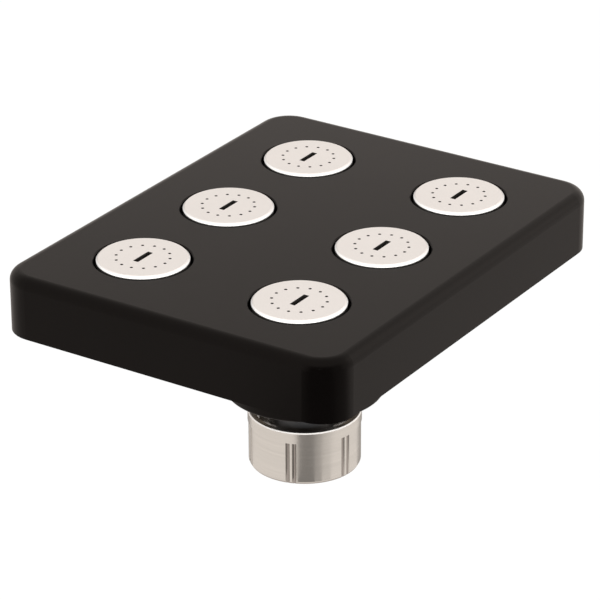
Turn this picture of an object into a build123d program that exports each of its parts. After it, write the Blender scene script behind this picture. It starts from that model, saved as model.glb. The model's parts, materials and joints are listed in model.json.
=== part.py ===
from build123d import *
import os
from math import asin, cos, degrees, radians, sin, sqrt, tan

# Fixed overhead shower head with six round spray cells and a ball joint, shown spray face up.
# Origin: centre of the inlet collar's bottom face. +Z points to the spray face, +Y along the long side.
# All sizes are in millimetres.

# Plate
plate_width = 116.0
plate_length = 149.4
plate_thickness = 19.0
plate_corner_radius = 10.4
face_edge_radius = 3.4
face_wall = 2.6
side_wall = 2.6

# Spray cells, two columns of three
cell_columns = 2
cell_rows = 3
cell_margin_x = 30.85
cell_margin_y = 30.5
cap_radius = 13.75
cap_gap = 0.85
cap_proud = 0.75
cap_plate = 1.2
cap_skirt_wall = 1.35
cap_edge = 0.6
cap_to_lid = 0.6
cell_edge_break = 0.35
jet_count = 14
jet_circle_radius = 8.0
jet_radius = 0.38
jet_tip_drop = 0.1
jet_tip_bore = 0.15
jet_phase = -2.2
slot_length = 7.6
slot_width = 1.8
mat_thickness = 1.6
mat_slit_length = 5.6
mat_slit_width = 0.8
cell_bore_margin = 1.6
seal_ring_section = 1.3
cell_skirt_wall = 1.6

# Manifold
tray_to_post = 0.5
tray_corner_radius = 8.0
tray_wall = 2.0
tray_floor = 2.0
lid_thickness = 2.0
manifold_gasket_thickness = 0.5
lid_to_face = 2.9
baffle_thickness = 1.4
baffle_gap = 13.0
tray_spout_wall = 2.3
tray_spout_depth = 2.1
spout_to_lock_nut = 0.9

# Back cover and its flared boss
cover_thickness = 2.5
cover_gasket_thickness = 0.6
cover_lip = 1.3
boss_mouth_land = 1.5
boss_base_radius = 34.0
boss_mouth_edge = 0.8
boss_wall = 2.5
boss_tube_wall = 2.4
boss_rib_count = 8
boss_rib_thickness = 1.6
boss_cavity_start = 1.0
socket_web = 3.0

# Screws
screw_radius = 1.5
screw_head_radius = 2.8
screw_head_height = 1.8
screw_head_clearance = 0.2
screw_post_radius = 3.3
screw_bite = 9.0
screw_drive_radius = 1.2
screw_drive_depth = 1.1
screw_end_wall = 1.9
post_inset = 7.2

# Ball joint
ball_radius = 13.0
ball_below_mouth = 8.0
neck_radius = 8.1
waterway_radius = 4.5
tilt_limit = 12.0
upper_seat_wall = 3.3
upper_seat_low_latitude = 6.0
upper_seat_high_latitude = 55.0
seal_latitude = 30.0
seal_radius = 1.2
lower_seat_top_latitude = 10.0
lower_seat_bottom_latitude = 28.0
lower_seat_wall = 2.9
nut_wall = 1.9
nut_mouth_clearance = 1.7
nut_notch_count = 6
nut_notch_width = 3.0
nut_notch_depth = 1.6
socket_skirt_wall = 2.05
socket_skirt_rise = 0.6
socket_top_wall = 2.35
socket_gasket_thickness = 1.0
spigot_radius = 8.0
spigot_bore_radius = 4.6
spigot_tip_radius = 7.0
spigot_setback = 0.15
spigot_ring_section = 1.5
lock_nut_across_flats = 24.0
lock_nut_height = 4.0

# Inlet stem and grip sleeve
sleeve_height = 17.4
sleeve_to_boss = 7.3
sleeve_band_radius = 17.45
sleeve_band_height = 3.4
sleeve_grip_radius = 17.2
sleeve_rim_radius = 16.35
sleeve_rim_edge = 0.3
sleeve_foot_edge = 0.8
sleeve_skirt_wall = 1.35
sleeve_ledge_depth = 3.0
flange_drop = 0.3
flange_wall = 1.0
flange_recess_depth = 4.5
flange_recess_round = 1.8
grip_group_count = 6
grip_phase = -11.2
grip_group_width = 3.4
grip_rib_width = 0.75
grip_depth = 0.55
grip_top_drop = 0.4
hub_recess = 0.4
stem_band_radius = 8.5
stem_shoulder_wall = 0.6
stem_band_edge = 0.4
thread_radius = 9.32
thread_countersink = 0.8
hub_top_wall = 1.7
thread_relief_radius = 9.9
washer_thickness = 2.0
washer_bore_radius = 6.0
regulator_radius = 7.5
regulator_height = 4.5
regulator_port_count = 8
regulator_port_radius = 0.9
regulator_port_circle = 4.7
regulator_hub_radius = 2.6
regulator_hub_height = 1.0
screen_thickness = 0.7
screen_hole_radius = 0.75
screen_hole_pitch = 2.6
screen_rings = 2

# Clearances
slide_clearance = 0.05
running_clearance = 0.3
drop_in_clearance = 0.1

# Radii that follow from the ball outwards
seat_radius = ball_radius + running_clearance
upper_seat_outer_radius = seat_radius + upper_seat_wall
lower_seat_outer_radius = seat_radius + lower_seat_wall
pocket_radius = upper_seat_outer_radius + running_clearance
nut_bore_radius = lower_seat_outer_radius + running_clearance
nut_thread_radius = nut_bore_radius + nut_wall
socket_bore_radius = nut_thread_radius + slide_clearance
socket_outer_radius = socket_bore_radius + socket_skirt_wall
boss_bore_radius = socket_outer_radius + drop_in_clearance
boss_tube_radius = boss_bore_radius + boss_tube_wall
boss_mouth_radius = boss_tube_radius + boss_mouth_land

# Radii of the sleeve, the stem and the spray cells
sleeve_bore_radius = sleeve_grip_radius - sleeve_skirt_wall
hub_radius = sleeve_bore_radius - slide_clearance
flange_radius = sleeve_rim_radius - slide_clearance
regulator_bore_radius = regulator_radius + slide_clearance
cell_hole_radius = cap_radius + cap_gap
cap_inner_radius = cap_radius - cap_skirt_wall
cell_spigot_radius = cap_inner_radius - drop_in_clearance
cell_bore_radius = jet_circle_radius + cell_bore_margin

# Levels of the inlet
sleeve_ledge_z = sleeve_height - sleeve_ledge_depth
flange_top_z = sleeve_height - flange_drop
recess_floor_z = sleeve_height - flange_recess_depth
relief_top_z = recess_floor_z - hub_top_wall
thread_relief_z = relief_top_z - washer_thickness
screen_top_z = relief_top_z + screen_thickness
regulator_top_z = screen_top_z + regulator_height
stem_band_top_z = regulator_top_z + stem_shoulder_wall

# Levels of the ball joint
boss_mouth_z = sleeve_height + sleeve_to_boss
ball_z = boss_mouth_z + ball_below_mouth
lower_seat_top_z = ball_z - seat_radius * sin(radians(lower_seat_top_latitude))
lower_seat_bottom_z = ball_z - seat_radius * sin(radians(lower_seat_bottom_latitude))
socket_top_z = ball_z + pocket_radius + socket_top_wall
web_under_z = socket_top_z + socket_gasket_thickness
web_top_z = web_under_z + socket_web
lock_nut_top_z = web_top_z + lock_nut_height
spigot_tip_z = lock_nut_top_z + slide_clearance

# Levels of the manifold, the plate and the caps
tray_spout_z = lock_nut_top_z + spout_to_lock_nut
tray_under_z = tray_spout_z + tray_spout_depth
tray_floor_z = tray_under_z + tray_floor
cover_top_z = tray_under_z - screw_head_height - screw_head_clearance
plate_back_z = cover_top_z - cover_thickness
face_z = plate_back_z + plate_thickness
face_under_z = face_z - face_wall
lid_top_z = face_under_z - lid_to_face
lid_under_z = lid_top_z - lid_thickness
tray_top_z = lid_under_z - manifold_gasket_thickness
spigot_ring_z = tray_under_z + slide_clearance
spigot_end_z = tray_floor_z - spigot_setback
cover_ledge_z = cover_top_z + cover_gasket_thickness
cap_top_z = face_z + cap_proud
cap_under_z = cap_top_z - cap_plate
cap_skirt_z = lid_top_z + cap_to_lid
mat_under_z = cap_under_z - mat_thickness

# Outline of the manifold, inside the row of housing posts
tray_inset = post_inset + screw_post_radius + tray_to_post
tray_width = plate_width - 2 * tray_inset
tray_length = plate_length - 2 * tray_inset

# Places that repeat
cell_pitch_x = (plate_width - 2 * cell_margin_x) / (cell_columns - 1)
cell_pitch_y = (plate_length - 2 * cell_margin_y) / (cell_rows - 1)
cells = [
    ((column - (cell_columns - 1) / 2) * cell_pitch_x, (row - (cell_rows - 1) / 2) * cell_pitch_y)
    for row in range(cell_rows)
    for column in range(cell_columns)
]
post_x = plate_width / 2 - post_inset
post_y = plate_length / 2 - post_inset
cover_posts = [(x, y) for x in (-post_x, 0, post_x) for y in (-post_y, 0, post_y) if x or y]
column_x = tray_width / 2 - tray_wall - slide_clearance - screw_post_radius
column_y = tray_length / 2 - tray_wall - slide_clearance - screw_post_radius
row_between_y = cell_pitch_y / 2
tray_columns = [(x, y) for x in (-column_x, 0, column_x) for y in (-row_between_y, row_between_y)]
tray_columns += [(0, -column_y), (0, column_y)]


def rod(radius, z_low, z_high, x=0.0, y=0.0):
    """Upright cylinder between two heights."""
    upright = (Align.CENTER, Align.CENTER, Align.MIN)
    return Pos(x, y, z_low) * Cylinder(radius, z_high - z_low, align=upright)


def slab(inset, z_low, z_high, width=plate_width, length=plate_length, corner=plate_corner_radius):
    """Round-cornered plate whose outline lies a given inset inside the named outline."""
    outline = RectangleRounded(width - 2 * inset, length - 2 * inset, corner - inset)
    return extrude(Pos(0, 0, z_low) * outline, z_high - z_low)


def turned(*points):
    """Solid of revolution about Z from the corner points (radius, height) of its section."""
    return revolve(make_face(Plane.XZ * Polyline(*points, close=True)), Axis.Z)


def turned_edges(edges):
    """Solid of revolution about Z from the joined edges of its section."""
    return revolve(make_face(Plane.XZ * edges), Axis.Z)


def polar_places(radius, count, phase=0.0):
    """Evenly spaced places on a circle."""
    angles = [radians(phase + 360 * index / count) for index in range(count)]
    return [(radius * cos(angle), radius * sin(angle)) for angle in angles]


def on_ball(radius, latitude):
    """Section point at a radius and latitude about the ball's centre."""
    return (radius * cos(radians(latitude)), ball_z + radius * sin(radians(latitude)))


def ball_arc(radius, low, high):
    """Section arc about the ball's centre between two latitudes."""
    return CenterArc((0, ball_z), radius, low, high - low)


def grip_sleeve():
    """Satin metal sleeve with a smooth top band, six pairs of grip flutes and a ledge inside its rim."""
    band_z = sleeve_height - sleeve_band_height
    sleeve = turned(
        (sleeve_bore_radius, 0),
        (sleeve_grip_radius - sleeve_foot_edge / 2, 0),
        (sleeve_grip_radius, sleeve_foot_edge),
        (sleeve_grip_radius, band_z),
        (sleeve_band_radius, band_z),
        (sleeve_band_radius, sleeve_height - sleeve_rim_edge),
        (sleeve_band_radius - sleeve_rim_edge, sleeve_height),
        (sleeve_rim_radius, sleeve_height),
        (sleeve_rim_radius, sleeve_ledge_z),
        (sleeve_bore_radius, sleeve_ledge_z),
    )
    half_width = (grip_group_width - grip_rib_width) / 4
    flute_radius = (half_width**2 + grip_depth**2) / (2 * grip_depth)
    flute_x = sleeve_grip_radius - grip_depth + flute_radius
    flute_y = half_width + grip_rib_width / 2
    flutes = [rod(flute_radius, 0, band_z - grip_top_drop, flute_x, side * flute_y) for side in (-1, 1)]
    for index in range(grip_group_count):
        turn = Rot(0, 0, grip_phase + 360 * index / grip_group_count)
        sleeve -= [turn * flute for flute in flutes]
    return sleeve


def ball_stem():
    """Black metal stem: threaded hub below, dished flange inside the sleeve, neck, hollow ball on top."""
    neck_top_z = ball_z - sqrt(ball_radius**2 - neck_radius**2)
    ball_low = -degrees(asin((ball_z - neck_top_z) / ball_radius))
    ball_high = 90 - degrees(asin(waterway_radius / ball_radius))
    ball_top_z = on_ball(ball_radius, ball_high)[1]
    outside = Polyline(
        (waterway_radius, ball_top_z),
        (waterway_radius, regulator_top_z),
        (regulator_bore_radius, regulator_top_z),
        (regulator_bore_radius, relief_top_z),
        (thread_relief_radius, relief_top_z),
        (thread_relief_radius, thread_relief_z),
        (thread_radius, thread_relief_z),
        (thread_radius, hub_recess + thread_countersink),
        (thread_radius + thread_countersink, hub_recess),
        (hub_radius, hub_recess),
        (hub_radius, sleeve_ledge_z),
        (flange_radius, sleeve_ledge_z),
        (flange_radius, flange_top_z),
        (flange_radius - flange_wall, flange_top_z),
        (flange_radius - flange_wall, recess_floor_z),
        (stem_band_radius, recess_floor_z),
        (stem_band_radius, stem_band_top_z - stem_band_edge),
        (neck_radius, stem_band_top_z),
        (neck_radius, neck_top_z),
    )
    stem = turned_edges(outside + ball_arc(ball_radius, ball_low, ball_high))
    floor_edges = stem.edges().filter_by_position(Axis.Z, recess_floor_z, recess_floor_z)
    return fillet(floor_edges.sort_by(SortBy.RADIUS)[-1], flange_recess_round)


def inlet_washer():
    """Flat rubber washer at the end of the inlet thread."""
    washer = rod(thread_relief_radius - slide_clearance, thread_relief_z, relief_top_z)
    return washer - rod(washer_bore_radius, thread_relief_z, relief_top_z)


def filter_screen():
    """Perforated debris screen above the washer."""
    screen = rod(regulator_radius, relief_top_z, screen_top_z)
    places = [(0.0, 0.0)]
    for ring in range(1, screen_rings + 1):
        places += polar_places(ring * screen_hole_pitch, 6 * ring)
    screen -= [rod(screen_hole_radius, relief_top_z, screen_top_z, x, y) for x, y in places]
    return screen


def flow_regulator():
    """Plastic flow limiter with a ring of ports round a raised core."""
    body = rod(regulator_radius, screen_top_z, regulator_top_z)
    recess_z = regulator_top_z - regulator_hub_height
    ring = rod(waterway_radius + regulator_port_radius, recess_z, regulator_top_z)
    body -= ring - rod(regulator_hub_radius, recess_z, regulator_top_z)
    ports = polar_places(regulator_port_circle, regulator_port_count)
    body -= [rod(regulator_port_radius, screen_top_z, regulator_top_z, x, y) for x, y in ports]
    return body


def upper_ball_seat():
    """Plastic seat over the ball, a shell between two spheres with a groove for its seal."""
    low = upper_seat_low_latitude
    high = upper_seat_high_latitude
    edges = ball_arc(seat_radius, low, high) + ball_arc(upper_seat_outer_radius, low, high)
    edges += Line(on_ball(seat_radius, low), on_ball(upper_seat_outer_radius, low))
    edges += Line(on_ball(seat_radius, high), on_ball(upper_seat_outer_radius, high))
    middle = on_ball(seat_radius + seal_radius, seal_latitude)
    groove = Pos(0, 0, middle[1]) * Torus(middle[0], seal_radius + slide_clearance)
    return turned_edges(edges) - groove


def ball_seal():
    """Rubber ring between the ball and its upper seat."""
    middle = on_ball(seat_radius + seal_radius, seal_latitude)
    return Pos(0, 0, middle[1]) * Torus(middle[0], seal_radius)


def lower_ball_seat():
    """Plastic bearing ring under the ball's equator."""
    low = -lower_seat_bottom_latitude
    high = -lower_seat_top_latitude
    edges = ball_arc(seat_radius, low, high)
    edges += Polyline(
        on_ball(seat_radius, high),
        (lower_seat_outer_radius, lower_seat_top_z),
        (lower_seat_outer_radius, lower_seat_bottom_z),
        on_ball(seat_radius, low),
    )
    return turned_edges(edges)


def retaining_nut():
    """Ring nut that holds the ball in its socket, with spanner notches in its open face."""
    lip = on_ball(seat_radius, -lower_seat_bottom_latitude)[0]
    tilt = radians(tilt_limit * sqrt(2))
    mouth = neck_radius / cos(tilt) + ball_below_mouth * tan(tilt) + nut_mouth_clearance
    nut = turned(
        (lip, lower_seat_bottom_z),
        (mouth, boss_mouth_z),
        (nut_thread_radius, boss_mouth_z),
        (nut_thread_radius, lower_seat_top_z),
        (nut_bore_radius, lower_seat_top_z),
        (nut_bore_radius, lower_seat_bottom_z),
    )
    notch_align = (Align.CENTER, Align.CENTER, Align.MIN)
    notch = Box(2 * nut_notch_width, nut_notch_width, nut_notch_depth, align=notch_align)
    for index in range(nut_notch_count):
        nut -= Rot(0, 0, 360 * index / nut_notch_count) * Pos(nut_thread_radius, 0, boss_mouth_z) * notch
    return nut


def ball_socket():
    """Turned socket: threaded skirt, spherical pocket and hollow spigot up to the manifold."""
    skirt_z = boss_mouth_z + socket_skirt_rise
    step_z = lower_seat_top_z + drop_in_clearance
    pocket_high = 90 - degrees(asin(spigot_bore_radius / pocket_radius))
    ring_floor = spigot_tip_radius - spigot_ring_section
    edges = ball_arc(pocket_radius, 0, pocket_high)
    edges += Polyline(
        on_ball(pocket_radius, 0),
        (pocket_radius, step_z),
        (socket_bore_radius, step_z),
        (socket_bore_radius, skirt_z),
        (socket_outer_radius, skirt_z),
        (socket_outer_radius, socket_top_z),
        (spigot_radius, socket_top_z),
        (spigot_radius, spigot_tip_z),
        (spigot_tip_radius, spigot_tip_z),
        (spigot_tip_radius, spigot_ring_z),
        (ring_floor, spigot_ring_z),
        (ring_floor, spigot_ring_z + spigot_ring_section),
        (spigot_tip_radius, spigot_ring_z + spigot_ring_section),
        (spigot_tip_radius, spigot_end_z),
        (spigot_bore_radius, spigot_end_z),
        on_ball(pocket_radius, pocket_high),
    )
    return turned_edges(edges)


def socket_gasket():
    """Flat gasket between the socket's shoulder and the cover's web."""
    hole = spigot_radius + slide_clearance
    outer = socket_outer_radius - drop_in_clearance
    return rod(outer, socket_top_z, web_under_z) - rod(hole, socket_top_z, web_under_z)


def socket_lock_nut():
    """Thin hexagon nut that clamps the socket to the cover."""
    hexagon = RegularPolygon(lock_nut_across_flats / 2, 6, major_radius=False)
    nut = extrude(Pos(0, 0, web_top_z) * hexagon, lock_nut_height)
    return nut - rod(spigot_radius + slide_clearance, web_top_z, lock_nut_top_z)


def spigot_ring():
    """Square-section ring that seals the spigot in the tray's spout."""
    floor = spigot_tip_radius - spigot_ring_section + slide_clearance
    low = spigot_ring_z + slide_clearance
    high = spigot_ring_z + spigot_ring_section - slide_clearance
    return rod(spigot_tip_radius + slide_clearance, low, high) - rod(floor, low, high)


def flare_bend():
    """Radius of the arc along which the boss flares, upright at its mouth."""
    rise = plate_back_z - boss_mouth_z
    spread = boss_base_radius - boss_mouth_radius
    return (spread**2 + rise**2) / (2 * spread)


def inner_flare_radius(z):
    """Radius of the inside of the boss's flared wall at a height."""
    bend = flare_bend()
    return boss_mouth_radius + bend - sqrt((bend + boss_wall) ** 2 - (z - boss_mouth_z) ** 2)


def inner_flare_level(radius):
    """Height at which the inside of the boss's flared wall has a radius."""
    bend = flare_bend()
    return boss_mouth_z + sqrt((bend + boss_wall) ** 2 - (boss_mouth_radius + bend - radius) ** 2)


def boss_body():
    """Flared boss, solid, standing below the cover plate."""
    flare = TangentArc(
        (boss_mouth_radius, boss_mouth_z), (boss_base_radius, plate_back_z), tangent=(0, 1)
    )
    edges = flare + Polyline(
        (boss_base_radius, plate_back_z),
        (boss_base_radius, cover_top_z),
        (0, cover_top_z),
        (0, boss_mouth_z),
        (boss_mouth_radius, boss_mouth_z),
    )
    body = turned_edges(edges)
    rim = body.edges().sort_by(Axis.Z)[0]
    return fillet(rim, boss_mouth_edge)


def boss_cavity():
    """Ring-shaped hollow between the flared wall and the socket tube, bridged by ribs."""
    low = inner_flare_level(boss_tube_radius + boss_cavity_start)
    middle = (low + cover_top_z) / 2
    low_end, mid_point, high_end = [(inner_flare_radius(z), z) for z in (low, middle, cover_top_z)]
    edges = ThreePointArc(low_end, mid_point, high_end)
    edges += Polyline(high_end, (boss_tube_radius, cover_top_z), (boss_tube_radius, low), low_end)
    ring = turned_edges(edges)
    rib = Pos(0, 0, low) * Box(
        2 * boss_base_radius,
        boss_rib_thickness,
        cover_top_z - low,
        align=(Align.CENTER, Align.CENTER, Align.MIN),
    )
    return ring - [Rot(0, 0, 360 * index / boss_rib_count) * rib for index in range(boss_rib_count // 2)]


def back_cover():
    """Moulded back cover with the flared boss that holds the ball socket."""
    cover = slab(cover_lip + drop_in_clearance, plate_back_z, cover_top_z) + boss_body()
    cover -= boss_cavity()
    cover -= rod(boss_bore_radius, boss_mouth_z, web_under_z)
    cover -= rod(boss_bore_radius, web_top_z, cover_top_z)
    cover -= rod(spigot_radius + drop_in_clearance, web_under_z, web_top_z)
    for x, y in cover_posts:
        cover -= rod(screw_radius + drop_in_clearance, plate_back_z, cover_top_z, x, y)
        cover -= Pos(x, y, 0) * screw_cone(drop_in_clearance)
    return cover


def screw_cone(clearance=0.0):
    """Countersunk screw head, or the seat for it, with its flat side on the cover's outside."""
    wide = screw_head_radius + clearance
    narrow = screw_radius + clearance
    neck_z = plate_back_z + wide - narrow
    return turned((0, plate_back_z), (wide, plate_back_z), (narrow, neck_z), (0, neck_z))


def perimeter_gasket():
    """Thin rubber frame between the cover's rim and the shell's ledge."""
    outer = slab(cover_lip + 2 * drop_in_clearance, cover_top_z, cover_ledge_z)
    return outer - slab(side_wall - slide_clearance, cover_top_z, cover_ledge_z)


def front_shell():
    """Black moulded shell: spray face, side walls, cell openings and screw posts in one piece."""
    shell = slab(0, plate_back_z, face_z)
    shell = fillet(shell.faces().sort_by(Axis.Z)[-1].edges(), face_edge_radius)
    shell -= slab(side_wall, plate_back_z, face_under_z)
    shell -= slab(cover_lip, plate_back_z, cover_ledge_z)
    shell += [rod(screw_post_radius, cover_top_z, face_under_z, x, y) for x, y in cover_posts]
    shell += [rod(screw_post_radius, lid_top_z, face_under_z, x, y) for x, y in tray_columns]
    for x, y in cells:
        shell += rod(cell_hole_radius + cell_skirt_wall, lid_top_z, face_under_z, x, y)
    for x, y in cells:
        shell -= rod(cell_hole_radius, lid_top_z, face_z, x, y)
        wide = cell_hole_radius + cell_edge_break
        low = face_z - cell_edge_break
        shell -= Pos(x, y, 0) * turned((0, face_z), (wide, face_z), (cell_hole_radius, low), (0, low))
    hole = screw_radius + slide_clearance
    cover_hole_z = plate_back_z + screw_bite + slide_clearance
    tray_hole_z = face_z - screw_end_wall + slide_clearance
    shell -= [rod(hole, cover_top_z, cover_hole_z, x, y) for x, y in cover_posts]
    shell -= [rod(hole, lid_top_z, tray_hole_z, x, y) for x, y in tray_columns]
    return shell


def manifold_tray():
    """Lower half of the water chamber, with screw columns, baffles and the inlet spout."""
    tray_size = dict(width=tray_width, length=tray_length, corner=tray_corner_radius)
    tray = slab(0, tray_under_z, tray_top_z, **tray_size)
    tray -= slab(tray_wall, tray_floor_z, tray_top_z, **tray_size)
    spout_bore = spigot_tip_radius + drop_in_clearance
    tray += rod(spout_bore + tray_spout_wall, tray_spout_z, tray_under_z)
    tray += [rod(screw_post_radius, tray_floor_z, lid_under_z, x, y) for x, y in tray_columns]
    baffle_length = tray_width / 2 - tray_wall / 2 - baffle_gap
    baffle = Box(baffle_length, baffle_thickness, tray_top_z - tray_floor_z)
    baffle_x = baffle_gap + baffle_length / 2
    baffle_z = (tray_top_z + tray_floor_z) / 2
    for x in (-baffle_x, baffle_x):
        for y in (-row_between_y, row_between_y):
            tray += Pos(x, y, baffle_z) * baffle
    tray -= rod(spout_bore, tray_spout_z, tray_floor_z)
    hole = screw_radius + drop_in_clearance
    tray -= [rod(hole, tray_under_z, lid_under_z, x, y) for x, y in tray_columns]
    return tray


def manifold_gasket():
    """Thin rubber frame between the tray and its lid."""
    tray_size = dict(width=tray_width, length=tray_length, corner=tray_corner_radius)
    frame = slab(0, tray_top_z, lid_under_z, **tray_size)
    return frame - slab(tray_wall, tray_top_z, lid_under_z, **tray_size)


def manifold_lid():
    """Upper half of the water chamber, with a threaded spigot for each spray cap."""
    tray_size = dict(width=tray_width, length=tray_length, corner=tray_corner_radius)
    lid = slab(0, lid_under_z, lid_top_z, **tray_size)
    for x, y in cells:
        lid += Pos(x, y, 0) * cell_spigot()
    lid -= [rod(cell_bore_radius, lid_under_z, mat_under_z, x, y) for x, y in cells]
    hole = screw_radius + drop_in_clearance
    lid -= [rod(hole, lid_under_z, lid_top_z, x, y) for x, y in tray_columns]
    return lid


def cell_spigot():
    """Short spigot with a groove for the cap's seal ring."""
    floor = cell_spigot_radius - seal_ring_section
    low = seal_ring_low_z()
    high = low + seal_ring_section
    return turned(
        (0, lid_under_z),
        (cell_spigot_radius, lid_under_z),
        (cell_spigot_radius, low),
        (floor, low),
        (floor, high),
        (cell_spigot_radius, high),
        (cell_spigot_radius, mat_under_z),
        (0, mat_under_z),
    )


def seal_ring_low_z():
    """Height of the lower side of the seal ring's groove, midway up the spigot."""
    return (lid_top_z + mat_under_z - seal_ring_section) / 2


def cap_seal():
    """Square-section rubber ring in the spigot's groove."""
    low = seal_ring_low_z() + slide_clearance
    high = seal_ring_low_z() + seal_ring_section - slide_clearance
    floor = cell_spigot_radius - seal_ring_section + slide_clearance
    return rod(cap_inner_radius - slide_clearance, low, high) - rod(floor, low, high)


def spray_cap():
    """Round metal cap with a ring of jets and a straight slot along the long side."""
    cap = turned(
        (0, cap_under_z),
        (cap_inner_radius, cap_under_z),
        (cap_inner_radius, cap_skirt_z),
        (cap_radius, cap_skirt_z),
        (cap_radius, cap_top_z - cap_edge),
        (cap_radius - cap_edge, cap_top_z),
        (0, cap_top_z),
    )
    jets = polar_places(jet_circle_radius, jet_count, jet_phase)
    cap -= [rod(jet_radius, cap_under_z, cap_top_z, x, y) for x, y in jets]
    slot_z = (cap_under_z + cap_top_z) / 2
    return cap - Pos(0, 0, slot_z) * Box(slot_width, slot_length, cap_plate)


def nozzle_mat():
    """Soft rubber mat under the cap, with a bored tip up each hole and a slit under the slot."""
    mat = rod(cell_spigot_radius, mat_under_z, cap_under_z)
    jets = polar_places(jet_circle_radius, jet_count, jet_phase)
    tip_radius = jet_radius - slide_clearance
    tip_top_z = cap_top_z - jet_tip_drop
    mat += [rod(tip_radius, cap_under_z, tip_top_z, x, y) for x, y in jets]
    mat -= [rod(jet_tip_bore, mat_under_z, tip_top_z, x, y) for x, y in jets]
    slit_z = (mat_under_z + cap_under_z) / 2
    return mat - Pos(0, 0, slit_z) * Box(mat_slit_width, mat_slit_length, mat_thickness)


def hexagon_socket(z_low):
    """Cutter for a screw's drive, open downwards."""
    hexagon = RegularPolygon(screw_drive_radius, 6, major_radius=False)
    return extrude(Pos(0, 0, z_low) * hexagon, screw_drive_depth)


def housing_screws():
    """Countersunk screws that hold the cover to the shell's posts."""
    end_z = plate_back_z + screw_bite
    screw = screw_cone() + rod(screw_radius, plate_back_z, end_z)
    screw -= hexagon_socket(plate_back_z)
    return [Pos(x, y, 0) * screw for x, y in cover_posts]


def manifold_screws():
    """Cheese-head screws that hold tray and lid to the shell."""
    head_z = tray_under_z - screw_head_height
    screw = rod(screw_head_radius, head_z, tray_under_z)
    screw += rod(screw_radius, head_z, face_z - screw_end_wall)
    screw -= hexagon_socket(head_z)
    return [Pos(x, y, 0) * screw for x, y in tray_columns]


def write(name, shape):
    """Write one node's solid, or its group of equal solids."""
    export_step(Compound(children=shape) if isinstance(shape, list) else shape, f"parts/{name}.step")


os.makedirs("parts", exist_ok=True)

write("grip_sleeve", grip_sleeve())
write("ball_stem", ball_stem())
write("inlet_washer", inlet_washer())
write("filter_screen", filter_screen())
write("flow_regulator", flow_regulator())
write("upper_ball_seat", upper_ball_seat())
write("ball_seal", ball_seal())
write("lower_ball_seat", lower_ball_seat())
write("retaining_nut", retaining_nut())
write("ball_socket", ball_socket())
write("socket_gasket", socket_gasket())
write("socket_lock_nut", socket_lock_nut())
write("spigot_ring", spigot_ring())
write("back_cover", back_cover())
write("perimeter_gasket", perimeter_gasket())
write("front_shell", front_shell())
write("manifold_tray", manifold_tray())
write("manifold_gasket", manifold_gasket())
write("manifold_lid", manifold_lid())
write("housing_screws", housing_screws())
write("manifold_screws", manifold_screws())

cap = spray_cap()
mat = nozzle_mat()
ring = cap_seal()
for number, (x, y) in enumerate(cells, start=1):
    write(f"spray_cap_{number}", Pos(x, y, 0) * cap)
    write(f"nozzle_mat_{number}", Pos(x, y, 0) * mat)
    write(f"cap_seal_{number}", Pos(x, y, 0) * ring)
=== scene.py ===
import json
import math

import bmesh
import bpy
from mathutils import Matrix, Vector


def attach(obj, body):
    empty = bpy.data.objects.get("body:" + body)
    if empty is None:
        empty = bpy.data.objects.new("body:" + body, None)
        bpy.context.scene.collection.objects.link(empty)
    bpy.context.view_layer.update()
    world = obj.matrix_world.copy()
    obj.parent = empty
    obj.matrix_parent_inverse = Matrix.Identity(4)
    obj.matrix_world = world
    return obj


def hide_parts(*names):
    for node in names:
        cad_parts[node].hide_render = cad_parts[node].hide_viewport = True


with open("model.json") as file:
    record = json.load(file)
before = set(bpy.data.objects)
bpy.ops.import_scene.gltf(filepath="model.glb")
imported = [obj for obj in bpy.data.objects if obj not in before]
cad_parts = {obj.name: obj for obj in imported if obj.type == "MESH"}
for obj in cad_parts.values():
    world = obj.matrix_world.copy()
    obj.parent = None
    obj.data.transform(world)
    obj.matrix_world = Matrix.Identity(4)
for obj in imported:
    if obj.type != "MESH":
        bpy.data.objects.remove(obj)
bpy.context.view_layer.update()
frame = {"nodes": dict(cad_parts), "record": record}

# Photograph's camera, solved from the spray caps and the plate's outline
CAMERA_PLACE = (0.5016, -0.76955, 0.48948)
CAMERA_TURN = (64.613, 0.204, 33.081)
CAMERA_LENS = 203.41
CAMERA_CLIP = (0.05, 20.0)
SENSOR_WIDTH = 36.0

# White light tent round the object: its strength in reflections and in plain shading, and its colour in each
TENT_MIRRORED = 0.88
TENT_LIGHT = 0.62
MIRRORED_COLOUR = (1.0, 0.905, 0.84, 1)
LIGHT_COLOUR = (1.0, 0.985, 0.965, 1)

# Floor: its colour in plain light, its strength in reflections, and the white that the camera mostly sees
FLOOR_SIZE = 6.0
FLOOR_COLOUR = (0.8, 0.79, 0.78, 1)
FLOOR_MIRRORED = 0.83
FLOOR_WHITE = 1.06
FLOOR_WHITE_SHARE = 0.92

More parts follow.
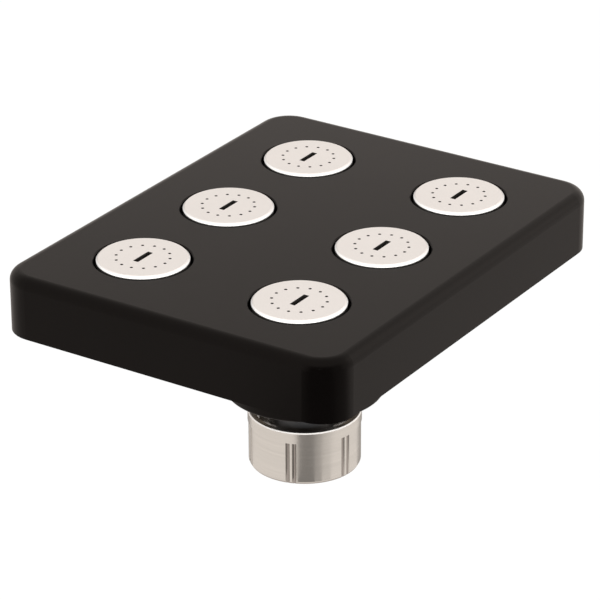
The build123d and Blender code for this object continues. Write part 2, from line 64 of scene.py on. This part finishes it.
# Darker and brighter parts of the tent, seen in reflections only:
# name, lowest and highest azimuth, foot's radius, nearest and farthest distance from the foot, wall height, tone
CAMERA_AZIMUTH = 33.18
SLEEVE_FOOT = 0.0175
CARD_LEVEL = 0.0004
CARD_STEPS = 8
TENT_CARDS = (
    ("near_dark", 18, 53, SLEEVE_FOOT, 0.0, 0.12, 0.0, 0.25),
    ("near_dim", 53, 68, SLEEVE_FOOT, 0.0, 0.12, 0.0, 0.43),
    ("near_grey", 68, 88, SLEEVE_FOOT, 0.0, 0.12, 0.0, 0.66),
    ("far_dark", -6, 60, 0.0, 0.14, 0.60, 0.45, 0.05),
    ("far_dim", 60, 90, 0.0, 0.14, 0.60, 0.45, 0.30),
    ("right_shade", 172, 213, SLEEVE_FOOT, 0.0, 0.06, 0.0, 0.40),
    ("left_shade", -147, -106, SLEEVE_FOOT, 0.0, 0.06, 0.0, 0.40),
    ("back_pale", 152, 182, 0.0, 0.38, 0.40, 0.45, 1.20),
    ("back_bright", 118, 152, 0.0, 0.38, 0.40, 0.45, 1.60),
    ("back_low", 118, 182, 0.0, 0.36, 0.37, 0.11, 1.15),
    ("behind_pale", 182, 238, 0.0, 0.38, 0.40, 0.215, 1.22),
)

# Colours, a pair where a material varies between two
PLASTIC_COLOURS = (0.0012, 0.0009, 0.0008), (0.0018, 0.0014, 0.0013)
PLASTIC_TINT = (1.0, 0.95, 0.92, 1)
RUBBER_COLOURS = (0.004, 0.004, 0.004), (0.008, 0.008, 0.008)
INNER_COLOURS = (0.02, 0.02, 0.02), (0.03, 0.03, 0.03)
SEAT_COLOURS = (0.70, 0.69, 0.66), (0.78, 0.77, 0.74)
BRASS_COLOURS = (0.30, 0.255, 0.19), (0.38, 0.325, 0.245)
STEEL_COLOURS = (0.50, 0.49, 0.47), (0.62, 0.61, 0.59)
STEM_COLOURS = (0.09, 0.09, 0.09), (0.12, 0.12, 0.12)
# Painted highlight: the second dish colour, on the turned-up part of the stem's dish
DISH_HIGHLIGHT_COLOURS = (0.12, 0.12, 0.12), (0.32, 0.325, 0.33)
NECK_COLOUR = (0.032, 0.032, 0.033)
SLEEVE_COLOURS = (0.70, 0.70, 0.675), (0.85, 0.85, 0.82)
# Painted shade down in the sleeve's flutes and on its top face; painted highlight along its upper rim
SLEEVE_FLUTE_SHADE_COLOUR = (0.42, 0.40, 0.38)
SLEEVE_FLAT_SHADE_COLOUR = (0.25, 0.25, 0.25)
SLEEVE_RIM_HIGHLIGHT_COLOUR = (0.95, 0.92, 0.89)
CAP_COLOURS = (0.87, 0.84, 0.815), (0.91, 0.88, 0.855)
# Painted highlight on the caps' side; painted shade below it in the gap and inside their slot and jets, whose dark
# colour is also painted in a ring round each jet
CAP_SIDE_HIGHLIGHT_COLOUR = (0.97, 0.95, 0.93)
CAP_GAP_SHADE_COLOUR = (0.045, 0.042, 0.039)
CAP_HOLE_SHADE_AND_RING_COLOUR = (0.022, 0.020, 0.018)

# Caps: their places, their ring of jets, and the levels and radii between which their colour changes for painted
# shade and painted highlight
CAP_STEP = (0.0543, 0.0442)
CAP_SHIFT = 0.02715
JET_CIRCLE = 0.008
JET_STEP = math.radians(360 / 14)
JET_PHASE = math.radians(-2.2)
JET_DARK_RADIUS = 0.00048
CAP_FACE_Z = 0.07818
CAP_SIDE_Z = 0.07800
CAP_GAP_Z = 0.07735
CAP_HOLES_RADIUS = 0.010
CAP_SIDE_RADIUS = 0.0134
CAP_METALLIC = 0.4

# Grip sleeve: its upper rim with its painted highlight, the top face inside it with its painted shade, and the
# radii between which painted shade darkens the metal down in its flutes
SLEEVE_RIM_Z = 0.01709
SLEEVE_RIM_RADIUS = 0.01705
SLEEVE_RIM_METALLIC = 0.2
SLEEVE_FLAT_Z = 0.01737
FLUTE_DARK_RADIUS = 0.01685
FLUTE_LIGHT_RADIUS = 0.01718
FLUTE_TOP_Z = 0.0136

# Black stem: where its duller neck begins and how wide it is, and where the dish round it turns up and a painted
# highlight begins
NECK_FOOT_Z = 0.0125
NECK_COAT_RADIUS = 0.0095
NECK_ROUGHER = 0.22
DISH_RIM_RADIUS = 0.0108

# Inlet's G1/2 thread
THREAD_RADIUS = 0.00932
THREAD_DEPTH = 0.00116
THREAD_PITCH = 0.001814
THREAD_LOW = 0.0012
THREAD_HIGH = 0.0092
THREAD_ROWS = 14
THREAD_SHARP_ANGLE = math.radians(35)
WELD_DISTANCE = 1e-7
BORE_TOLERANCE = 5e-6


def back_vector(azimuth, elevation):
    """Unit vector from the object towards a viewer at that azimuth and elevation in degrees."""
    a = math.radians(azimuth)
    e = math.radians(elevation)
    return Vector((math.sin(a) * math.cos(e), -math.cos(a) * math.cos(e), math.sin(e)))


def add_object(name, data):
    thing = bpy.data.objects.new(name, data)
    bpy.context.scene.collection.objects.link(thing)
    return thing


def add_camera():
    data = bpy.data.cameras.new("camera")
    data.lens = CAMERA_LENS
    data.sensor_width = SENSOR_WIDTH
    data.clip_start, data.clip_end = CAMERA_CLIP
    camera = add_object("camera", data)
    camera.location = CAMERA_PLACE
    camera.rotation_euler = [math.radians(angle) for angle in CAMERA_TURN]
    bpy.context.scene.camera = camera


def add_lamp(name, azimuth, elevation, distance, size, power, aim):
    """Soft rectangular lamp at a direction from the object, aimed at it and not seen in reflections."""
    data = bpy.data.lights.new(name, "AREA")
    data.shape = "RECTANGLE"
    data.size, data.size_y = size
    data.energy = power
    lamp = add_object(name, data)
    back = back_vector(azimuth, elevation)
    lamp.location = Vector(aim) + back * distance
    lamp.rotation_mode = "QUATERNION"
    lamp.rotation_quaternion = (-back).to_track_quat("-Z", "Y")
    lamp.visible_glossy = False


def glow(nodes, kind, colour, strength=1.0):
    """Background or emission shader of one colour."""
    node = nodes.new(kind)
    node.inputs["Color"].default_value = colour
    node.inputs["Strength"].default_value = strength
    return node


def output_by_ray(tree, output, light, mirrored, seen, seen_share):
    """Plain light, reflections and the camera each get their own shader, the camera a share of its."""
    nodes = tree.nodes
    out = nodes.new(output)
    path = nodes.new("ShaderNodeLightPath")
    share = nodes.new("ShaderNodeMath")
    share.operation = "MULTIPLY"
    share.inputs[1].default_value = seen_share
    inner = nodes.new("ShaderNodeMixShader")
    outer = nodes.new("ShaderNodeMixShader")
    for source, target in (
        (path.outputs["Is Glossy Ray"], inner.inputs[0]),
        (light.outputs[0], inner.inputs[1]),
        (mirrored.outputs[0], inner.inputs[2]),
        (path.outputs["Is Camera Ray"], share.inputs[0]),
        (share.outputs[0], outer.inputs[0]),
        (inner.outputs[0], outer.inputs[1]),
        (seen.outputs[0], outer.inputs[2]),
        (outer.outputs[0], out.inputs[0]),
    ):
        tree.links.new(source, target)


def add_world():
    """Soft white light all round, which the camera sees as white."""
    world = bpy.data.worlds.new("world")
    world.use_nodes = True
    nodes = world.node_tree.nodes
    nodes.clear()
    light = glow(nodes, "ShaderNodeBackground", LIGHT_COLOUR, TENT_LIGHT)
    mirrored = glow(nodes, "ShaderNodeBackground", MIRRORED_COLOUR, TENT_MIRRORED)
    seen = glow(nodes, "ShaderNodeBackground", (1, 1, 1, 1))
    output_by_ray(world.node_tree, "ShaderNodeOutputWorld", light, mirrored, seen, 1.0)
    bpy.context.scene.world = world


class Paint:
    """A node material with its principled shader, and what adds and links its other nodes."""

    def __init__(self, name):
        self.material = bpy.data.materials.new(name)
        self.material.use_nodes = True
        self.nodes = self.material.node_tree.nodes
        self.links = self.material.node_tree.links
        self.shader = self.nodes["Principled BSDF"]

    def link(self, socket, name):
        """Feed one of the shader's inputs."""
        self.links.new(socket, self.shader.inputs[name])

    def noise(self, scale, detail=2.0, roughness=0.5, stretch=None):
        """Noise in object coordinates, stretched if asked."""
        coords = self.nodes.new("ShaderNodeTexCoord")
        mapping = self.nodes.new("ShaderNodeMapping")
        if stretch:
            mapping.inputs["Scale"].default_value = stretch
        self.links.new(coords.outputs["Object"], mapping.inputs["Vector"])
        texture = self.nodes.new("ShaderNodeTexNoise")
        texture.inputs["Scale"].default_value = scale
        texture.inputs["Detail"].default_value = detail
        texture.inputs["Roughness"].default_value = roughness
        self.links.new(mapping.outputs["Vector"], texture.inputs["Vector"])
        return texture.outputs["Fac"]

    def remap(self, value, low, high, start=0.0, end=1.0):
        """Value from start to end spread over low to high."""
        node = self.nodes.new("ShaderNodeMapRange")
        node.inputs["From Min"].default_value = start
        node.inputs["From Max"].default_value = end
        node.inputs["To Min"].default_value = low
        node.inputs["To Max"].default_value = high
        self.links.new(value, node.inputs["Value"])
        return node.outputs["Result"]

    def blend(self, value, first, second):
        """Mix of two colours by a value; each colour is three numbers or a socket."""
        node = self.nodes.new("ShaderNodeMix")
        node.data_type = "RGBA"
        for name, colour in (("A", first), ("B", second)):
            if isinstance(colour, tuple):
                node.inputs[name].default_value = (*colour, 1)
            else:
                self.links.new(colour, node.inputs[name])
        self.links.new(value, node.inputs["Factor"])
        return node.outputs["Result"]

    def bump(self, height, distance, strength):
        """Bump on the shader's normal."""
        node = self.nodes.new("ShaderNodeBump")
        node.inputs["Distance"].default_value = distance
        node.inputs["Strength"].default_value = strength
        self.links.new(height, node.inputs["Height"])
        self.link(node.outputs["Normal"], "Normal")

    def maths(self, operation, *values):
        """One maths node; each input is a socket or a number."""
        node = self.nodes.new("ShaderNodeMath")
        node.operation = operation
        for place, value in enumerate(values):
            if isinstance(value, (int, float)):
                node.inputs[place].default_value = value
            else:
                self.links.new(value, node.inputs[place])
        return node.outputs[0]

    def plus(self, first, second):
        return self.maths("ADD", first, second)

    def minus(self, first, second):
        return self.maths("SUBTRACT", first, second)

    def times(self, first, second):
        return self.maths("MULTIPLY", first, second)

    def above(self, value, level):
        return self.maths("GREATER_THAN", value, level)

    def below(self, value, level):
        return self.maths("LESS_THAN", value, level)

    def wrapped(self, value, reach):
        """Value brought back to between minus and plus its reach, over and over."""
        return self.maths("WRAP", value, reach, -reach)

    def squares(self, first, second):
        return self.plus(self.times(first, first), self.times(second, second))

    def axes(self):
        """The x, y and z sockets of the object coordinates."""
        coords = self.nodes.new("ShaderNodeTexCoord")
        parts = self.nodes.new("ShaderNodeSeparateXYZ")
        self.links.new(coords.outputs["Object"], parts.inputs[0])
        return parts.outputs

    def from_axis(self, x, y):
        """Distance from the Z axis of a place given by its x and y sockets."""
        return self.maths("SQRT", self.squares(x, y))


def matte_black():
    """Warm black moulded plastic with a fine spark-eroded texture."""
    paint = Paint("matte_black")
    cloud = paint.noise(scale=45, detail=3)
    grain = paint.noise(scale=2600)
    paint.link(paint.blend(cloud, *PLASTIC_COLOURS), "Base Color")
    paint.link(paint.remap(cloud, low=0.29, high=0.33), "Roughness")
    paint.shader.inputs["Specular IOR Level"].default_value = 0.11
    paint.shader.inputs["Specular Tint"].default_value = PLASTIC_TINT
    paint.bump(grain, distance=0.00003, strength=0.5)
    return paint.material


def gloss_black():
    """Gloss black plated metal: a painted highlight, a brighter base colour, on the turned-up part of the flange's
    dish, a duller coat on the neck and ball.
    """
    paint = Paint("gloss_black")
    cloud = paint.noise(scale=160)
    x, y, z = paint.axes()
    above = paint.above(z, NECK_FOOT_Z)
    across = paint.from_axis(x, y)
    neck = paint.times(above, paint.below(across, NECK_COAT_RADIUS))
    # painted highlight: a brighter base colour on the dish beyond its rim radius
    rim = paint.above(across, DISH_RIM_RADIUS)
    stem_and_dish_highlight = paint.blend(above, paint.blend(cloud, *STEM_COLOURS), paint.blend(rim, *DISH_HIGHLIGHT_COLOURS))
    paint.link(paint.blend(neck, stem_and_dish_highlight, NECK_COLOUR), "Base Color")
    rough = paint.remap(cloud, low=0.15, high=0.20)
    paint.link(paint.plus(rough, paint.times(neck, NECK_ROUGHER)), "Roughness")
    paint.link(paint.remap(neck, low=1.0, high=0.0), "Metallic")
    paint.bump(paint.noise(scale=900), distance=0.00001, strength=0.3)
    return paint.material


def turned_metal(name, colours, roughness, anisotropy, lines):
    """Metal with fine lines round the Z axis by a noise squeezed along Z; returns the paint and its colour."""
    paint = Paint(name)
    fine = paint.noise(scale=60, detail=4, roughness=0.6, stretch=lines)
    colour = paint.blend(fine, *colours)
    paint.link(colour, "Base Color")
    paint.link(paint.remap(paint.noise(scale=120), *roughness), "Roughness")
    paint.shader.inputs["Anisotropic"].default_value = anisotropy
    paint.bump(fine, distance=0.00002, strength=0.4)
    return paint, colour


def plain_metal(name, colours, roughness, anisotropy, lines):
    paint, _ = turned_metal(name, colours, roughness, anisotropy, lines)
    paint.shader.inputs["Metallic"].default_value = 1.0
    return paint.material


def sleeve_metal():
    """Satin nickel, with a painted highlight along the sleeve's upper rim, painted shade on the top face inside it
    and painted shade down in its flutes.
    """
    paint, colour = turned_metal(
        "satin_nickel", SLEEVE_COLOURS, roughness=(0.22, 0.28), anisotropy=0.5, lines=(0.4, 0.4, 22)
    )
    x, y, z = paint.axes()
    across = paint.from_axis(x, y)
    # painted shade: the metal darkens the deeper it lies in the flutes
    depth = paint.remap(across, low=0.0, high=1.0, start=FLUTE_LIGHT_RADIUS, end=FLUTE_DARK_RADIUS)
    flute = paint.times(depth, paint.below(z, FLUTE_TOP_Z))
    # painted highlight: a pale, less metallic band along the sleeve's upper rim
    rim = paint.times(paint.above(z, SLEEVE_RIM_Z), paint.above(across, SLEEVE_RIM_RADIUS))
    flute_shaded = paint.blend(flute, colour, SLEEVE_FLUTE_SHADE_COLOUR)
    # painted shade on the sleeve's top face inside its pale rim, under the boss
    darker = paint.blend(paint.above(z, SLEEVE_FLAT_Z), flute_shaded, SLEEVE_FLAT_SHADE_COLOUR)
    paint.link(paint.blend(rim, darker, SLEEVE_RIM_HIGHLIGHT_COLOUR), "Base Color")
    paint.link(paint.remap(rim, low=1.0, high=SLEEVE_RIM_METALLIC), "Metallic")
    return paint.material


def cap_metal():
    """Satin cap: painted shade inside its slot and jets and a dark ring painted round each jet, a painted
    highlight along its side, and painted shade below, in the gap round it.
    """
    paint, colour = turned_metal(
        "satin_cap", CAP_COLOURS, roughness=(0.42, 0.5), anisotropy=0.0, lines=(1, 1, 12)
    )
    x, y, z = paint.axes()
    half_x, half_y = (step / 2 for step in CAP_STEP)
    from_x = paint.wrapped(paint.minus(x, CAP_SHIFT), half_x)
    from_y = paint.wrapped(y, half_y)
    across = paint.from_axis(from_x, from_y)
    # painted shade: the cap's metal is dark inside its slot and jet holes; the same dark colour is also painted in
    # a ring round each jet
    sunk = paint.times(paint.below(z, CAP_FACE_Z), paint.below(across, CAP_HOLES_RADIUS))
    turn = paint.minus(paint.maths("ARCTAN2", from_y, from_x), JET_PHASE)
    beside = paint.times(paint.wrapped(turn, JET_STEP / 2), JET_CIRCLE)
    spread = paint.squares(beside, paint.minus(across, JET_CIRCLE))
    hole_shade_and_jet_rings = paint.maths("MAXIMUM", sunk, paint.below(spread, JET_DARK_RADIUS**2))
    # painted highlight: the cap's side is paler and not metallic; painted shade: it is darker below, in the gap
    # round the cap
    side = paint.times(paint.below(z, CAP_SIDE_Z), paint.above(across, CAP_SIDE_RADIUS))
    gap = paint.times(side, paint.below(z, CAP_GAP_Z))
    # duller carries the painted highlight on the side and the painted shade in the gap
    duller = paint.blend(gap, paint.blend(side, colour, CAP_SIDE_HIGHLIGHT_COLOUR), CAP_GAP_SHADE_COLOUR)
    paint.link(paint.blend(hole_shade_and_jet_rings, duller, CAP_HOLE_SHADE_AND_RING_COLOUR), "Base Color")
    paint.link(paint.remap(paint.plus(hole_shade_and_jet_rings, side), low=CAP_METALLIC, high=0.0), "Metallic")
    return paint.material


def rubber():
    paint = Paint("black_rubber")
    cloud = paint.noise(scale=300, detail=3)
    paint.link(paint.blend(cloud, *RUBBER_COLOURS), "Base Color")
    paint.link(paint.remap(cloud, low=0.6, high=0.8), "Roughness")
    paint.shader.inputs["Specular IOR Level"].default_value = 0.2
    paint.bump(cloud, distance=0.00003, strength=0.4)
    return paint.material


def inner_plastic(name, colours):
    paint = Paint(name)
    cloud = paint.noise(scale=120, detail=3)
    paint.link(paint.blend(cloud, *colours), "Base Color")
    paint.link(paint.remap(cloud, low=0.4, high=0.55), "Roughness")
    paint.bump(paint.noise(scale=1500), distance=0.00002, strength=0.4)
    return paint.material


SLOT_MATERIALS = {
    "black_plastic": matte_black(),
    "satin_cap": cap_metal(),
    "satin_nickel": sleeve_metal(),
    "black_metal": gloss_black(),
    "brass": plain_metal("brass", BRASS_COLOURS, roughness=(0.28, 0.38), anisotropy=0.3, lines=(1, 1, 40)),
    "stainless": plain_metal("stainless", STEEL_COLOURS, roughness=(0.22, 0.32), anisotropy=0.2, lines=(1, 1, 20)),
    "inner_plastic": inner_plastic("inner_plastic", INNER_COLOURS),
    "seat_plastic": inner_plastic("seat_plastic", SEAT_COLOURS),
    "rubber": rubber(),
}


def dress_cad_nodes():
    slots = {row["node"]: row["material_slot"] for row in frame["record"]["subparts"]}
    for name, node in frame["nodes"].items():
        node.data.materials.clear()
        node.data.materials.append(SLOT_MATERIALS[slots[name]])


def angle_of(vertex):
    return math.atan2(vertex.co.y, vertex.co.x)


def bore_ring(mesh, level):
    """Vertices of the inlet bore's circle at a height, in order of angle."""
    ring = []
    for vertex in mesh.verts:
        x, y, z = vertex.co
        if abs(math.hypot(x, y) - THREAD_RADIUS) < BORE_TOLERANCE and abs(z - level) < BORE_TOLERANCE:
            ring.append(vertex)
    return sorted(ring, key=angle_of)


def thread_ring(mesh, foot, z):
    """One ring of the thread's surface, over the angles of the bore's lower circle."""
    runout = min(1.0, (z - THREAD_LOW) / THREAD_PITCH, (THREAD_HIGH - z) / THREAD_PITCH)
    ring = []
    for vertex in foot:
        angle = angle_of(vertex)
        turn = z / THREAD_PITCH - angle / (2 * math.pi)
        rise = 1 - abs(2 * (turn % 1.0) - 1)
        radius = THREAD_RADIUS + THREAD_DEPTH * runout * rise * rise * (3 - 2 * rise)
        ring.append(mesh.verts.new((radius * math.cos(angle), radius * math.sin(angle), z)))
    return ring


def add_threaded_stem():
    """The stem with its G1/2 thread cut into the plain wall of the bore."""
    mesh = bmesh.new()
    mesh.from_mesh(frame["nodes"]["ball_stem"].data)
    bmesh.ops.remove_doubles(mesh, verts=mesh.verts, dist=WELD_DISTANCE)
    low = bore_ring(mesh, THREAD_LOW)
    high = bore_ring(mesh, THREAD_HIGH)
    edge = set(low + high)
    wall = [face for face in mesh.faces if edge.issuperset(face.verts)]
    bmesh.ops.delete(mesh, geom=wall, context="FACES")
    count = round((THREAD_HIGH - THREAD_LOW) / THREAD_PITCH * THREAD_ROWS)
    levels = [THREAD_LOW + (THREAD_HIGH - THREAD_LOW) * row / count for row in range(1, count)]
    rings = [low] + [thread_ring(mesh, low, z) for z in levels] + [high]
    for lower, upper in zip(rings, rings[1:]):
        for i in range(len(lower)):
            j = (i + 1) % len(lower)
            mesh.faces.new((lower[i], upper[i], upper[j], lower[j]))
    bmesh.ops.recalc_face_normals(mesh, faces=mesh.faces)
    data = bpy.data.meshes.new("threaded_stem")
    mesh.to_mesh(data)
    mesh.free()
    data.shade_smooth()
    data.set_sharp_from_angle(angle=THREAD_SHARP_ANGLE)
    data.materials.clear()
    data.materials.append(SLOT_MATERIALS["black_metal"])
    stem = add_object("threaded_stem", data)
    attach(stem, "inlet")
    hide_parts("ball_stem")


def add_floor():
    """Pale floor that keeps a soft shadow and looks white beyond it."""
    bpy.ops.mesh.primitive_plane_add(size=FLOOR_SIZE)
    floor = bpy.context.object
    floor.name = "floor"
    material = bpy.data.materials.new("floor")
    material.use_nodes = True
    nodes = material.node_tree.nodes
    nodes.clear()
    plain = nodes.new("ShaderNodeBsdfDiffuse")
    plain.inputs["Color"].default_value = FLOOR_COLOUR
    tent = glow(nodes, "ShaderNodeEmission", MIRRORED_COLOUR, FLOOR_MIRRORED)
    white = glow(nodes, "ShaderNodeEmission", (1, 1, 1, 1), FLOOR_WHITE)
    output_by_ray(material.node_tree, "ShaderNodeOutputMaterial", plain, tent, white, FLOOR_WHITE_SHARE)
    floor.data.materials.append(material)


def card_mesh(name, low, high, foot, near, far, top):
    """Strip of floor between two azimuths, with a wall at its far end if it has a top.

    Each azimuth has its own start on a circle of the foot's radius, at the place that mirrors it to the camera.
    """
    path = [(near, CARD_LEVEL), (far, CARD_LEVEL)]
    if top:
        path.append((far, top))
    corners = []
    for index in range(CARD_STEPS + 1):
        azimuth = low + (high - low) * index / CARD_STEPS
        start = back_vector((azimuth + CAMERA_AZIMUTH) / 2, 0) * foot
        across = back_vector(azimuth, 0)
        for distance, height in path:
            place = start + across * distance
            corners.append((place.x, place.y, height))
    size = len(path)
    faces = []
    for index in range(CARD_STEPS):
        for row in range(size - 1):
            first = size * index + row
            faces.append((first, first + 1, first + size + 1, first + size))
    mesh = bpy.data.meshes.new(name)
    mesh.from_pydata(corners, [], faces)
    return mesh


def add_card(name, low, high, foot, near, far, top, tone):
    """Card of one tone, seen only in reflections."""
    mesh = card_mesh(name, low, high, foot, near, far, top)
    card = add_object(name, mesh)
    material = bpy.data.materials.new(name)
    material.use_nodes = True
    nodes = material.node_tree.nodes
    nodes.clear()
    out = nodes.new("ShaderNodeOutputMaterial")
    light = glow(nodes, "ShaderNodeEmission", (tone, tone * MIRRORED_COLOUR[1], tone * MIRRORED_COLOUR[2], 1))
    material.node_tree.links.new(light.outputs[0], out.inputs[0])
    mesh.materials.append(material)
    card.visible_camera = False
    card.visible_diffuse = False
    card.visible_shadow = False
    card.visible_transmission = False


dress_cad_nodes()
add_threaded_stem()
add_floor()
add_world()
add_lamp("front_box", azimuth=36, elevation=14, distance=1.3, size=(0.5, 0.3), power=20, aim=(0, 0, 0.06))
for card_row in TENT_CARDS:
    add_card(*card_row)
add_camera()

bpy.context.scene.view_settings.view_transform = "Standard"
